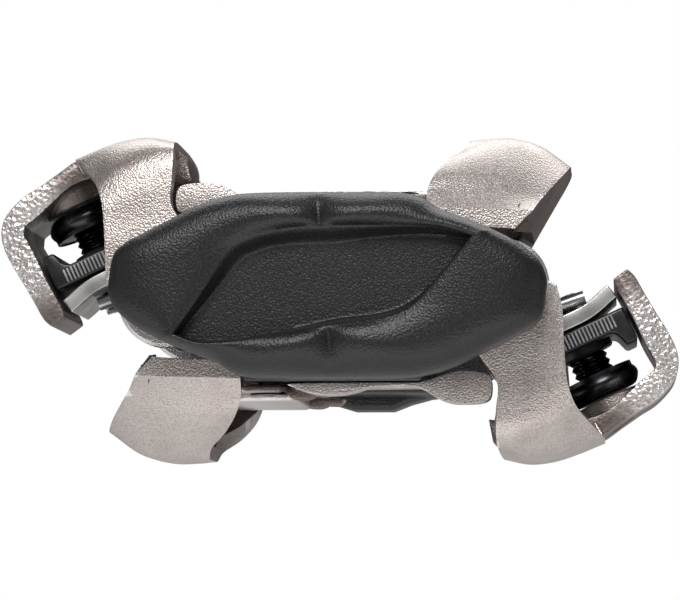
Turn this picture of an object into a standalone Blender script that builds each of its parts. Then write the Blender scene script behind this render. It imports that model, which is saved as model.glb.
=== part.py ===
"""Double-sided clipless mountain-bike pedal, right-hand, as an assembly of separate parts.

World axes: +X towards the toe on the upper side, +Y along the axle towards the crank, +Z up.
The origin is the centre of the axle's shoulder face, which seats against the crank arm.
Each side's binding is modelled once, and its frame is turned half a turn for the lower side.
Lengths are in metres, written as millimetres times MM.
"""

import math

import bmesh
import bpy
from mathutils import Matrix, Vector

MM = 0.001
GAP = 0.3 * MM  # clearance between neighbouring parts

# Overall layout, measured along the axle from the middle of the cleat seat
CRANK_DISTANCE = 55 * MM
BODY_HALF_WIDTH = 31 * MM
WING_THICKNESS = 9.8 * MM
BARREL_RADIUS = 11.5 * MM
WING_RIM_ROUND = 2.2 * MM
PANEL_DEPTH = 1.3 * MM
PANEL_SLOPE = 1.4 * MM
RIB_HALF_LENGTH = 12.1 * MM
RIB_CLEARANCE = 0.4 * MM
RIB_SETBACK = 0.8 * MM
CASTING_CLEARANCE = 0.8 * MM

# Axle and bearings
THREAD_LENGTH = 12.5 * MM
THREAD_RADIUS = 7.1 * MM
SOCKET_FLATS = 8 * MM
SOCKET_DEPTH = 8 * MM
FLANGE_RADIUS = 9 * MM
FLANGE_THICKNESS = 3 * MM
NECK_RADIUS = 6 * MM
JOURNAL_RADIUS = 5 * MM
BALL_RACE_RADIUS = 4 * MM
CONE_THREAD_RADIUS = 3.5 * MM
SLEEVE_RADIUS = 8.3 * MM
SLEEVE_WALL = 1.3 * MM
SLEEVE_INNER_END = 21.7 * MM
BALL_RADIUS = 1.2 * MM
BALL_PITCH_RADIUS = 5.6 * MM
BALL_COUNT = 11
BALL_SHELF_Y = -8.5 * MM
BALL_SHELF_THICKNESS = 3 * MM
CONE_RADIUS = 6.4 * MM
CONE_LENGTH = 4 * MM
LOCK_NUT_FLATS = 10 * MM
LOCK_NUT_LENGTH = 3 * MM
BORE_END_WALL = 7 * MM
LOCK_BOLT_RADIUS = 10.4 * MM
LOCK_BOLT_HEAD = 4.6 * MM
SEAL_RADIUS = 8.8 * MM
SEAL_THICKNESS = 2 * MM

# Front claw and cleat plate
PLATE_TOP = 14.4 * MM
PLATE_THICKNESS = 2 * MM
CLAW_WALL = 2.1 * MM
PLATE_FRONT = 27 * MM
SEAT_REAR = 5.5 * MM
RAIL_REAR = -12 * MM
RAIL_WIDTH = 7.3 * MM
TAB_REAR = -21.4 * MM
TAB_WIDTH = 5.2 * MM
TAB_DEPTH = 3.9 * MM
TAB_ROUND = 1.2 * MM
FLOOR_HALF_WIDTH = 14.5 * MM
CLAW_ROOT_X = 15 * MM
CLAW_SCREW_X = 9 * MM
SCREW_RADIUS = 1.5 * MM
SCREW_HEAD_RADIUS = 2.7 * MM
SCREW_LENGTH = 7.5 * MM
SCREW_HEX_FLATS = 2 * MM

# Rear binding and its pivot
PIVOT_X = -23 * MM
PIVOT_Z = -1 * MM
PIN_RADIUS = 2.5 * MM
PIN_DEPTH_IN_WING = 4.3 * MM
BINDING_WALL = 2.7 * MM
EYE_RADIUS = 6.3 * MM
EYE_THICKNESS = 3.6 * MM
STRAP_HALF_WIDTH = 10.5 * MM
NOSE_HALF_WIDTH = 6 * MM

# Torsion springs
WIRE_RADIUS = 0.95 * MM
SPRING_ARM = 10.1 * MM
SPRING_ARM_ANGLE = math.radians(109)
SPRING_CLEARANCE = 0.7 * MM
SPRING_REST_CLEARANCE = 0.05 * MM
SPRING_TURNS = 3
SPRING_START_Y = 4.4 * MM
SPRING_PITCH = 2.15 * MM

# Tension adjuster, along the bolt's own axis from the head's inner face
BOLT_ANCHOR = Vector((-35.5 * MM, 0, 10.6 * MM))
BOLT_TILT = math.radians(25)
BOLT_RADIUS = 2.8 * MM
BOLT_LENGTH = 12.2 * MM
BOLT_HEAD_RADIUS = 5.6 * MM
BOLT_HEAD_HEIGHT = 3 * MM
BOLT_HEX_FLATS = 3 * MM
BOLT_SEAT_LIP = 0.6 * MM
KEY_HOLE_RADIUS = 2.4 * MM
KEY_HOLE_REACH = 9 * MM
NUT_DISTANCE = 4.3 * MM
NUT_THICKNESS = 2.6 * MM
NUT_REAR = 7.3 * MM
NUT_FRONT = 4.2 * MM
NUT_HALF_WIDTH = 9 * MM
SPRING_PLATE_THICKNESS = 2 * MM
SPRING_PLATE_BEND = 2.9 * MM
SPRING_PLATE_LEG = 4.1 * MM
SPRING_PLATE_BEND_ANGLE = math.radians(20)

# Outlines in millimetres, (x, z), for the upper side
WING_OUTLINE = [
    (-29.4, 0.2), (-28.7, 4.1), (-26.9, 5.9), (-25.2, 6.8), (-20.9, 9.0), (-17.4, 10.7), (-13.5, 11.9),
    (-8.8, 12.4), (6.9, 12.4), (10.8, 12.2), (13.1, 11.5), (15.3, 10.1), (19.8, 8.4), (24.5, 6.2),
    (26.8, 4.7), (28.6, 2.9), (29.4, 1.0),
]
INNER_HUMP = [
    (-13.2, 11.8), (-8.4, 13.1), (-5.8, 14.1), (-0.2, 14.1), (2.4, 13.3), (10.5, 13.0), (12.6, 11.8),
]
PANEL_OUTLINE = [
    (-20.1, -6.7), (-16.6, -1.0), (-13.8, 4.1), (-11.5, 5.7), (-8.4, 6.8), (-2.9, 7.6), (14.7, 7.4),
    (19.4, 6.2), (14.7, 0.2), (12.0, -2.9), (8.8, -4.5), (4.1, -5.3), (-6.8, -6.7), (-15.8, -7.8),
]
STRAP_OUTLINE = [
    (-33.6, 20.2), (-36.3, 19.3), (-38.8, 17.5), (-41.5, 15.6), (-43.7, 14.2), (-45.6, 12.3), (-46.5, 10.8),
    (-46.8, 9.1), (-46.5, 7.3), (-45.5, 5.1), (-43.8, 2.3), (-42.2, -0.4), (-40.9, -2.7), (-39.8, -3.8),
    (-37.9, -2.4), (-38.2, -1.4), (-39.7, 1.3), (-41.0, 3.8), (-42.1, 6.2), (-43.6, 8.8), (-43.5, 10.1),
    (-41.4, 11.8), (-38.5, 14.5), (-36.5, 16.0), (-33.6, 17.0),
]
# Each row of a casting runs across it from its lower edge to the middle: the distance from the middle
# plane at the row's first and last points, then the row's points (x, z). The distances are drawn for a
# casting of this half width, and are stretched to the real one.
ROWS_HALF_WIDTH = 20.4
CLAW_ROWS = [
    (20.4, 20.2, [(12.8, 9.0), (15.6, 8.9), (18.4, 8.9), (21.2, 8.8), (24.3, 8.7), (24.4, 8.5)]),
    (20.4, 20.0, [(12.6, 11.6), (15.2, 11.5), (18.0, 11.4), (20.9, 11.3), (24.6, 11.1), (24.6, 9.0)]),
    (18.4, 16.8, [(12.7, 13.9), (15.8, 14.1), (19.2, 14.1), (22.6, 13.7), (26.3, 12.6), (25.6, 9.4)]),
    (16.4, 14.0, [(13.6, 16.4), (16.9, 16.8), (20.5, 16.8), (24.4, 16.1), (28.2, 14.4), (26.3, 9.6)]),
    (13.0, 11.4, [(15.4, 18.8), (18.6, 19.4), (22.2, 19.4), (26.0, 18.4), (30.0, 16.1), (26.7, 9.7)]),
    (9.0, 8.8, [(17.5, 20.6), (20.3, 21.4), (23.6, 21.5), (27.2, 20.5), (31.5, 17.4), (26.8, 9.8)]),
    (6.0, 6.0, [(18.1, 22.0), (20.8, 22.3), (24.2, 22.3), (27.9, 21.2), (32.1, 18.0), (26.8, 9.8)]),
    (0.0, 0.0, [(18.1, 22.1), (20.8, 22.3), (24.2, 22.3), (27.9, 21.3), (32.2, 18.0), (26.8, 9.8)]),
]
BINDING_ROWS = [
    (20.2, 20.4, [(-30.2, -1.0), (-27.8, -2.0), (-24.8, -2.2), (-21.5, -2.0), (-18.4, -1.5)]),
    (19.0, 20.3, [(-32.4, 2.0), (-29.4, 2.4), (-25.6, 2.8), (-21.4, 3.0), (-17.6, 3.0)]),
    (16.6, 19.4, [(-33.2, 6.0), (-30.4, 6.7), (-26.9, 7.4), (-23.5, 7.8), (-20.2, 8.0)]),
    (14.4, 17.6, [(-33.5, 9.5), (-31.2, 10.2), (-28.3, 11.0), (-25.6, 11.6), (-23.0, 12.0)]),
    (12.6, 16.2, [(-33.9, 12.5), (-31.4, 13.9), (-28.6, 14.9), (-25.8, 15.4), (-23.3, 15.6)]),
    (11.4, 14.6, [(-34.6, 15.6), (-31.8, 17.3), (-28.8, 18.5), (-25.9, 18.9), (-23.3, 18.7)]),
    (9.6, 11.4, [(-35.7, 18.2), (-32.4, 20.0), (-29.2, 21.1), (-26.0, 21.4), (-23.3, 20.8)]),
    (7.0, 7.4, [(-36.5, 19.4), (-33.0, 20.9), (-29.6, 22.0), (-26.2, 22.4), (-23.3, 21.7)]),
    (0.0, 0.0, [(-36.5, 19.4), (-33.0, 20.9), (-29.6, 22.0), (-26.2, 22.4), (-23.3, 21.8)]),
]
NOSE_OUTLINE = [(-27.0, 20.5), (-23.3, 21.5), (-21.2, 19.8), (-20.6, 16.6), (-22.2, 16.9), (-24.6, 17.9)]

# Places that follow from the sizes above
BOLT_AXIS = Vector((math.sin(BOLT_TILT), 0, -math.cos(BOLT_TILT)))  # from the head to the tip
BOLT_CROSS = Vector((math.cos(BOLT_TILT), 0, math.sin(BOLT_TILT)))  # square to it, towards the pivot
RACE_SHOULDER_Y = BALL_SHELF_Y + 2 * BALL_RADIUS + 2 * GAP
OUTER_BALL_Y = BALL_SHELF_Y - BALL_SHELF_THICKNESS - GAP - BALL_RADIUS
INNER_BALL_Y = BALL_SHELF_Y + GAP + BALL_RADIUS
CONE_Y = OUTER_BALL_Y - BALL_RADIUS - GAP
LOCK_NUT_Y = CONE_Y - CONE_LENGTH - GAP
AXLE_END_Y = LOCK_NUT_Y - LOCK_NUT_LENGTH - 1 * MM
SLEEVE_END_Y = BALL_SHELF_Y - BALL_SHELF_THICKNESS
LOCK_BOLT_Y = BODY_HALF_WIDTH + GAP
WING_INNER_Y = BODY_HALF_WIDTH - WING_THICKNESS
CASTING_HALF_WIDTH = WING_INNER_Y - CASTING_CLEARANCE
PLATE_EDGE = CASTING_HALF_WIDTH - GAP
RAIL_INNER_Y = PLATE_EDGE - RAIL_WIDTH
RIB_INNER_Y = RAIL_INNER_Y + RIB_SETBACK
RIB_HALF_HEIGHT = PLATE_TOP - PLATE_THICKNESS - RIB_CLEARANCE
CLAW_SCREW_Y = PLATE_EDGE - RAIL_WIDTH / 2
EYE_INNER_Y = CASTING_HALF_WIDTH - EYE_THICKNESS
SCREW_TOP = PLATE_TOP - 0.2 * MM


def clear_scene():
    for obj in list(bpy.data.objects):
        bpy.data.objects.remove(obj)


def collection(name, helpers=False):
    made = bpy.data.collections.new(name)
    made.hide_render = helpers
    bpy.context.scene.collection.children.link(made)
    return made


def material(name, colour, metallic, roughness):
    made = bpy.data.materials.new(name)
    made.use_nodes = True
    shader = made.node_tree.nodes["Principled BSDF"]
    shader.inputs["Base Color"].default_value = (*colour, 1)
    shader.inputs["Metallic"].default_value = metallic
    shader.inputs["Roughness"].default_value = roughness
    made.diffuse_color = (*colour, 1)
    return made


def empty(name, parent=None, location=(0, 0, 0), turn=0):
    made = bpy.data.objects.new(name, None)
    made.location = location
    made.rotation_euler = (0, turn, 0)
    made.parent = parent
    PARTS.objects.link(made)
    return made


def add(name, mesh, parent, look=None, origin=(0, 0, 0), helper=False):
    """Makes an object of a mesh drawn in its parent's frame, with its own origin at the given place."""
    mesh.transform(Matrix.Translation(-Vector(origin)))
    obj = bpy.data.objects.new(name, mesh)
    obj.location = origin
    obj.parent = parent
    if look:
        mesh.materials.append(look)
    if helper:
        HELPERS.objects.link(obj)
        obj.hide_render = True
        obj.display_type = "WIRE"
    else:
        PARTS.objects.link(obj)
        mesh.shade_smooth()
        mesh.set_sharp_from_angle(angle=math.radians(35))
    return obj


def finished(bm, name):
    bmesh.ops.recalc_face_normals(bm, faces=bm.faces)
    mesh = bpy.data.meshes.new(name)
    bm.to_mesh(mesh)
    bm.free()
    return mesh


def prism(name, outline, low_y, high_y):
    """A flat outline (x, z) in metres, extruded along Y."""
    bm = bmesh.new()
    face = bm.faces.new([bm.verts.new((x, low_y, z)) for x, z in outline])
    grown = bmesh.ops.extrude_face_region(bm, geom=[face])
    moved = [item for item in grown["geom"] if isinstance(item, bmesh.types.BMVert)]
    bmesh.ops.translate(bm, verts=moved, vec=(0, high_y - low_y, 0))
    return finished(bm, name)


def box(name, low, high):
    bm = bmesh.new()
    bmesh.ops.create_cube(bm, size=1)
    size = Vector(high) - Vector(low)
    middle = (Vector(high) + Vector(low)) / 2
    bmesh.ops.scale(bm, verts=bm.verts, vec=size)
    bmesh.ops.translate(bm, verts=bm.verts, vec=middle)
    return finished(bm, name)


def slab(name, outline, low_z, high_z):
    """A flat outline (x, y) in metres, extruded upwards."""
    bm = bmesh.new()
    face = bm.faces.new([bm.verts.new((x, y, low_z)) for x, y in outline])
    grown = bmesh.ops.extrude_face_region(bm, geom=[face])
    moved = [item for item in grown["geom"] if isinstance(item, bmesh.types.BMVert)]
    bmesh.ops.translate(bm, verts=moved, vec=(0, 0, high_z - low_z))
    return finished(bm, name)


def rod(name, radius, start, end, segments=32, end_radius=None):
    """A cylinder or cone between two points."""
    start, end = Vector(start), Vector(end)
    bm = bmesh.new()
    top = radius if end_radius is None else end_radius
    length = (end - start).length
    bmesh.ops.create_cone(bm, cap_ends=True, segments=segments, radius1=radius, radius2=top, depth=length)
    turn = Vector((0, 0, 1)).rotation_difference(end - start).to_matrix().to_4x4()
    bmesh.ops.transform(bm, matrix=Matrix.Translation((start + end) / 2) @ turn, verts=bm.verts)
    return finished(bm, name)


def hexagon(name, flats, start, end):
    return rod(name, flats / math.sqrt(3), start, end, segments=6)


def turned(name, profile, parent, look, segments=32, origin=(0, 0, 0), direction=(0, 1, 0)):
    """A closed ring of points (radius, distance along) turned round a line by a Screw modifier."""
    mesh = bpy.data.meshes.new(name)
    points = [(radius, along, 0) for radius, along in profile]
    edges = [(i, (i + 1) % len(points)) for i in range(len(points))]
    mesh.from_pydata(points, edges, [])
    obj = add(name, mesh, parent, look)
    obj.location = origin
    obj.rotation_euler = Vector((0, 1, 0)).rotation_difference(Vector(direction)).to_euler()
    screw = obj.modifiers.new("turn", "SCREW")
    screw.axis = "Y"
    screw.steps = segments
    screw.render_steps = segments
    screw.use_merge_vertices = True
    screw.merge_threshold = 0.00001
    screw.use_smooth_shade = True
    return obj


def combine(obj, operation, helper):
    step = obj.modifiers.new(operation.lower(), "BOOLEAN")
    step.operation = operation
    step.solver = "EXACT"
    step.object = helper


def join(obj, mesh):
    combine(obj, "UNION", add(f"{obj.name}_join_{len(obj.modifiers)}", mesh, obj.parent, helper=True))


def cut(obj, mesh):
    combine(obj, "DIFFERENCE", add(f"{obj.name}_cut_{len(obj.modifiers)}", mesh, obj.parent, helper=True))


def round_edges(obj, width, segments=2, angle=35):
    bevel = obj.modifiers.new("rounding", "BEVEL")
    bevel.width = width
    bevel.segments = segments
    bevel.limit_method = "ANGLE"
    bevel.angle_limit = math.radians(angle)


def in_metres(outline):
    return [(x * MM, z * MM) for x, z in outline]


def half_turned(outline):
    """The outline followed by its copy turned half a turn about the axle."""
    return outline + [(-x, -z) for x, z in outline]


def loft(name, rows):
    """An open surface through rows of points, mirrored at the middle plane (y = 0)."""
    bm = bmesh.new()
    stretch = CASTING_HALF_WIDTH / (ROWS_HALF_WIDTH * MM)
    grid = []
    for first_y, last_y, points in rows:
        count = len(points) - 1
        widths = [(first_y + (last_y - first_y) * i / count) * stretch for i in range(len(points))]
        grid.append([(x, y, z) for (x, z), y in zip(points, widths)])
    near = [[(x, -y, z) for x, y, z in row] for row in grid]
    far = grid[:-1][::-1]
    verts = [[bm.verts.new(Vector(point) * MM) for point in row] for row in near + far]
    for low, high in zip(verts, verts[1:]):
        for i in range(len(low) - 1):
            bm.faces.new((low[i], low[i + 1], high[i + 1], high[i]))
    mesh = bpy.data.meshes.new(name)
    bm.to_mesh(mesh)
    bm.free()
    return mesh


def casting(name, rows, parent, look, thickness, origin=(0, 0, 0)):
    """A shell of one wall thickness on a lofted outer surface."""
    obj = add(name, loft(name, rows), parent, look, origin=origin)
    smooth = obj.modifiers.new("smooth", "SUBSURF")
    smooth.levels = 1
    smooth.render_levels = 1
    smooth.boundary_smooth = "PRESERVE_CORNERS"
    wall = obj.modifiers.new("wall", "SOLIDIFY")
    wall.thickness = thickness
    wall.offset = -1
    wall.use_even_offset = False
    return obj


def make_materials():
    return {
        "cast_steel": material("nickel_cast_steel", (0.56, 0.52, 0.50), 1.0, 0.38),
        "black_paint": material("black_paint", (0.022, 0.024, 0.028), 0.0, 0.45),
        "black_steel": material("black_steel", (0.03, 0.03, 0.033), 1.0, 0.25),
        "spindle_steel": material("spindle_steel", (0.42, 0.42, 0.43), 1.0, 0.28),
        "bearing_steel": material("bearing_steel", (0.66, 0.67, 0.68), 1.0, 0.15),
        "spring_steel": material("spring_steel", (0.30, 0.30, 0.31), 1.0, 0.35),
        "black_plastic": material("black_plastic", (0.02, 0.02, 0.022), 0.0, 0.5),
        "grey_plastic": material("grey_plastic", (0.12, 0.12, 0.13), 0.0, 0.5),
        "rubber": material("black_rubber", (0.015, 0.015, 0.015), 0.0, 0.7),
    }


def make_axle(frame, looks):
    shoulder = CRANK_DISTANCE
    thread_end = shoulder + THREAD_LENGTH
    neck_start = shoulder - FLANGE_THICKNESS
    journal_start = SLEEVE_INNER_END + 2 * MM
    chamfer = 0.8 * MM
    race_collar = BALL_PITCH_RADIUS + BALL_RADIUS / 2
    profile = [
        (0, thread_end),
        (THREAD_RADIUS - chamfer, thread_end),
        (THREAD_RADIUS, thread_end - chamfer),
        (THREAD_RADIUS, shoulder),
        (FLANGE_RADIUS, shoulder),
        (FLANGE_RADIUS, neck_start),
        (NECK_RADIUS, neck_start - 2 * MM),
        (NECK_RADIUS, journal_start + 1 * MM),
        (JOURNAL_RADIUS, journal_start),
        (JOURNAL_RADIUS, RACE_SHOULDER_Y + 2 * MM),
        (race_collar, RACE_SHOULDER_Y + 1.4 * MM),
        (race_collar, RACE_SHOULDER_Y),
        (BALL_RACE_RADIUS, RACE_SHOULDER_Y),
        (BALL_RACE_RADIUS, CONE_Y + GAP),
        (CONE_THREAD_RADIUS, CONE_Y),
        (CONE_THREAD_RADIUS, AXLE_END_Y),
        (0, AXLE_END_Y),
    ]
    axle = turned("axle", profile, frame, looks["spindle_steel"])
    mouth = thread_end + 1 * MM
    cut(axle, hexagon("socket", SOCKET_FLATS, (0, thread_end - SOCKET_DEPTH, 0), (0, mouth, 0)))


def ring_profile(inner, outer, low_y, high_y, chamfer=0.3 * MM):
    return [
        (inner, high_y),
        (outer - chamfer, high_y),
        (outer, high_y - chamfer),
        (outer, low_y + chamfer),
        (outer - chamfer, low_y),
        (inner, low_y),
    ]


def make_cone_and_lock_nut(frame, looks):
    bore = CONE_THREAD_RADIUS + GAP
    turned("cone_nut", ring_profile(bore, CONE_RADIUS, CONE_Y - CONE_LENGTH, CONE_Y), frame,
           looks["bearing_steel"])
    low = LOCK_NUT_Y - LOCK_NUT_LENGTH
    mesh = hexagon("lock_nut", LOCK_NUT_FLATS, (0, low, 0), (0, LOCK_NUT_Y, 0))
    lock_nut = add("lock_nut", mesh, frame, looks["bearing_steel"])
    cut(lock_nut, rod("thread", bore, (0, low - 1 * MM, 0), (0, LOCK_NUT_Y + 1 * MM, 0)))


def make_ball_ring(name, y, frame, looks):
    """The cage ring with its balls, which turn together round the axle."""
    cage = 0.45 * MM
    profile = ring_profile(BALL_PITCH_RADIUS - cage, BALL_PITCH_RADIUS + cage, -cage, cage, 0.1 * MM)
    ring = turned(name, [(radius, y + height) for radius, height in profile], frame,
                  looks["bearing_steel"], segments=22)
    bm = bmesh.new()
    for i in range(BALL_COUNT):
        angle = 2 * math.pi * i / BALL_COUNT
        place = Vector((math.cos(angle), 0, math.sin(angle))) * BALL_PITCH_RADIUS + Vector((0, y, 0))
        bmesh.ops.create_uvsphere(bm, u_segments=8, v_segments=5, radius=BALL_RADIUS,
                                  matrix=Matrix.Translation(place))
    join(ring, finished(bm, "balls"))


def make_sleeve_and_bush(frame, looks):
    inner = SLEEVE_RADIUS - SLEEVE_WALL
    shelf = BALL_RACE_RADIUS + 4 * GAP
    profile = [
        (inner, SLEEVE_INNER_END),
        (SLEEVE_RADIUS, SLEEVE_INNER_END),
        (SLEEVE_RADIUS, SLEEVE_END_Y),
        (shelf, SLEEVE_END_Y),
        (shelf, BALL_SHELF_Y),
        (inner, BALL_SHELF_Y),
    ]
    turned("bearing_sleeve", profile, frame, looks["bearing_steel"])
    bush = ring_profile(JOURNAL_RADIUS + GAP, inner - GAP, SLEEVE_INNER_END - 14 * MM, SLEEVE_INNER_END)
    turned("plain_bush", bush, frame, looks["grey_plastic"])


def make_lock_bolt_and_seal(frame, looks):
    hole = NECK_RADIUS + GAP
    head_end = LOCK_BOLT_Y + LOCK_BOLT_HEAD
    profile = [
        (hole, head_end),
        (LOCK_BOLT_RADIUS - 0.6 * MM, head_end),
        (LOCK_BOLT_RADIUS, head_end - 0.6 * MM),
        (LOCK_BOLT_RADIUS, LOCK_BOLT_Y),
        (SLEEVE_RADIUS, LOCK_BOLT_Y),
        (SLEEVE_RADIUS, SLEEVE_INNER_END + GAP + 1 * MM),
        (hole, SLEEVE_INNER_END + GAP + 1 * MM),
    ]
    lock_bolt = turned("lock_bolt", profile, frame, looks["grey_plastic"])
    splines = 10
    for i in range(splines):
        angle = 2 * math.pi * i / splines
        rim = Vector((math.cos(angle), 0, math.sin(angle))) * (LOCK_BOLT_RADIUS + 0.5 * MM)
        low = rim + Vector((0, LOCK_BOLT_Y + 1 * MM, 0))
        high = rim + Vector((0, head_end + 1 * MM, 0))
        cut(lock_bolt, rod("spline", 1.2 * MM, low, high, segments=10))
    seal_y = head_end + GAP
    turned("axle_seal", ring_profile(hole, SEAL_RADIUS, seal_y, seal_y + SEAL_THICKNESS, 0.6 * MM), frame,
           looks["rubber"])


def panel_cutter():
    """The raised end's sunk panel: it narrows towards its floor."""
    outline = in_metres(PANEL_OUTLINE)
    outer_y = -BODY_HALF_WIDTH - 1 * MM
    floor_y = -BODY_HALF_WIDTH + PANEL_DEPTH
    face_y = -BODY_HALF_WIDTH
    bm = bmesh.new()
    rings = []
    for y, inset in ((outer_y, 0), (face_y, 0), (floor_y, PANEL_SLOPE)):
        rings.append([])
        for x, z in outline:
            shrink = 1 - inset / max(math.hypot(x, z), 1 * MM)
            rings[-1].append(bm.verts.new((x * shrink, y, z * shrink)))
    for low, high in zip(rings, rings[1:]):
        for i in range(len(low)):
            j = (i + 1) % len(low)
            bm.faces.new((low[i], low[j], high[j], high[i]))
    bm.faces.new(rings[0][::-1])
    bm.faces.new(rings[-1])
    return finished(bm, "panel")


def make_body(frame, looks):
    wing = half_turned(in_metres(WING_OUTLINE))
    mesh = prism("pedal_body", wing, -BODY_HALF_WIDTH, -WING_INNER_Y)
    body = add("pedal_body", mesh, frame, looks["black_paint"])
    round_edges(body, WING_RIM_ROUND, segments=3)
    overlap = WING_INNER_Y + 3 * MM
    join(body, rod("barrel", BARREL_RADIUS, (0, -overlap, 0), (0, overlap, 0), segments=40))
    inner_wing = add("pedal_body_inner_wing", prism("wing", wing, WING_INNER_Y, BODY_HALF_WIDTH), frame,
                     helper=True)
    round_edges(inner_wing, WING_RIM_ROUND / 2)
    combine(body, "UNION", inner_wing)
    hump = half_turned(in_metres(INNER_HUMP))
    join(body, prism("hump", hump, WING_INNER_Y + 1 * MM, BODY_HALF_WIDTH - 1 * MM))
    for low, high in ((-overlap, -RIB_INNER_Y), (RIB_INNER_Y, overlap)):
        corner = (RIB_HALF_LENGTH, high, RIB_HALF_HEIGHT)
        join(body, box("rib", (-RIB_HALF_LENGTH, low, -RIB_HALF_HEIGHT), corner))
    bore = SLEEVE_RADIUS + GAP
    narrow = BALL_PITCH_RADIUS + BALL_RADIUS + 2 * GAP
    mouth = BODY_HALF_WIDTH + 1 * MM
    cut(body, rod("bore", bore, (0, SLEEVE_END_Y - GAP, 0), (0, mouth, 0), segments=40))
    cut(body, rod("bore", narrow, (0, -BODY_HALF_WIDTH + BORE_END_WALL, 0), (0, 0, 0)))
    cut(body, panel_cutter())
    pin_end = WING_INNER_Y + PIN_DEPTH_IN_WING + GAP
    for side in (1, -1):
        at = (side * PIVOT_X, side * PIVOT_Z)
        cut(body, rod("pin_bore", PIN_RADIUS + GAP, (at[0], -pin_end, at[1]), (at[0], pin_end, at[1])))
        for y in (-CLAW_SCREW_Y, CLAW_SCREW_Y):
            top = (side * CLAW_SCREW_X, y, side * (RIB_HALF_HEIGHT + 1 * MM))
            end = (side * CLAW_SCREW_X, y, side * (SCREW_TOP - SCREW_LENGTH - GAP))
            cut(body, rod("screw_hole", SCREW_RADIUS + GAP, end, top, segments=20))


def screw_cutters(y):
    """The clearance hole and countersink of one claw screw."""
    hole = SCREW_RADIUS + GAP
    head = SCREW_HEAD_RADIUS + GAP
    low = PLATE_TOP - PLATE_THICKNESS - 1 * MM
    at = Vector((CLAW_SCREW_X, y, 0))
    yield rod("hole", hole, at + Vector((0, 0, low)), at + Vector((0, 0, PLATE_TOP + 1 * MM)), segments=20)
    sink = SCREW_TOP - (SCREW_HEAD_RADIUS - SCREW_RADIUS)
    yield rod("sink", hole, at + Vector((0, 0, sink)), at + Vector((0, 0, SCREW_TOP)), 24, head)
    yield rod("sink", head, at + Vector((0, 0, SCREW_TOP)), at + Vector((0, 0, PLATE_TOP + 1 * MM)), 24)


def plate_plan():
    """The plate's plan (x, y): a floor inside the claw, a wide seat, and an outboard rail with a tab."""
    inner = PLATE_EDGE - TAB_WIDTH - GAP
    return [
        (SEAT_REAR, -RAIL_INNER_Y),
        (RAIL_REAR, -RAIL_INNER_Y),
        (RAIL_REAR, -inner),
        (TAB_REAR + TAB_ROUND, -inner),
        (TAB_REAR + TAB_ROUND, -PLATE_EDGE),
        (CLAW_ROOT_X, -PLATE_EDGE),
        (CLAW_ROOT_X, -FLOOR_HALF_WIDTH),
        (PLATE_FRONT, -FLOOR_HALF_WIDTH),
        (PLATE_FRONT, FLOOR_HALF_WIDTH),
        (CLAW_ROOT_X, FLOOR_HALF_WIDTH),
        (CLAW_ROOT_X, PLATE_EDGE),
        (SEAT_REAR, PLATE_EDGE),
    ]


def tab_outline():
    """The rear tab from the side: thicker than the plate, with rounded corners."""
    top = PLATE_TOP - 0.2 * MM
    low = PLATE_TOP - TAB_DEPTH
    return [
        (RAIL_REAR + 1 * MM, top),
        (TAB_REAR + TAB_ROUND, top),
        (TAB_REAR + 0.3 * TAB_ROUND, top - 0.3 * TAB_ROUND),
        (TAB_REAR, top - TAB_ROUND),
        (TAB_REAR, low + TAB_ROUND),
        (TAB_REAR + 0.3 * TAB_ROUND, low + 0.3 * TAB_ROUND),
        (TAB_REAR + TAB_ROUND, low),
        (TAB_REAR + 5 * MM, low),
        (RAIL_REAR + 1 * MM, PLATE_TOP - PLATE_THICKNESS + 0.4 * MM),
    ]


def make_claw(side, frame, looks):
    """The front claw, cast in one piece with the plate that the cleat stands on."""
    claw = casting(f"{side}_front_claw", CLAW_ROWS, frame, looks["cast_steel"], CLAW_WALL)
    low = PLATE_TOP - PLATE_THICKNESS
    join(claw, slab("plate", plate_plan(), low, PLATE_TOP))
    join(claw, prism("tab", tab_outline(), GAP - PLATE_EDGE, TAB_WIDTH - PLATE_EDGE))
    for y in (-CLAW_SCREW_Y, CLAW_SCREW_Y):
        for cutter in screw_cutters(y):
            cut(claw, cutter)


def make_claw_screws(side, frame, looks):
    for place, y in (("outboard", -CLAW_SCREW_Y), ("inboard", CLAW_SCREW_Y)):
        top = Vector((CLAW_SCREW_X, y, SCREW_TOP))
        profile = [
            (0, 0),
            (0, -SCREW_LENGTH),
            (SCREW_RADIUS, -SCREW_LENGTH),
            (SCREW_RADIUS, SCREW_RADIUS - SCREW_HEAD_RADIUS),
            (SCREW_HEAD_RADIUS, 0),
        ]
        screw = turned(f"{side}_claw_screw_{place}", profile, frame, looks["black_steel"], 24, top, (0, 0, 1))
        low = top - Vector((0, 0, 1.2 * MM))
        cut(screw, hexagon("drive", SCREW_HEX_FLATS, low, top + Vector((0, 0, 1 * MM))))


def along_bolt(distance, across=0, y=0):
    """A point that far along the adjusting bolt from its head's inner face."""
    return BOLT_ANCHOR + BOLT_AXIS * distance + BOLT_CROSS * across + Vector((0, y, 0))


def bolt_outline(points):
    """An outline given as (along, across) from the head's inner face, as (x, z)."""
    placed = [along_bolt(along, across) for along, across in points]
    return [(point.x, point.z) for point in placed]


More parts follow.
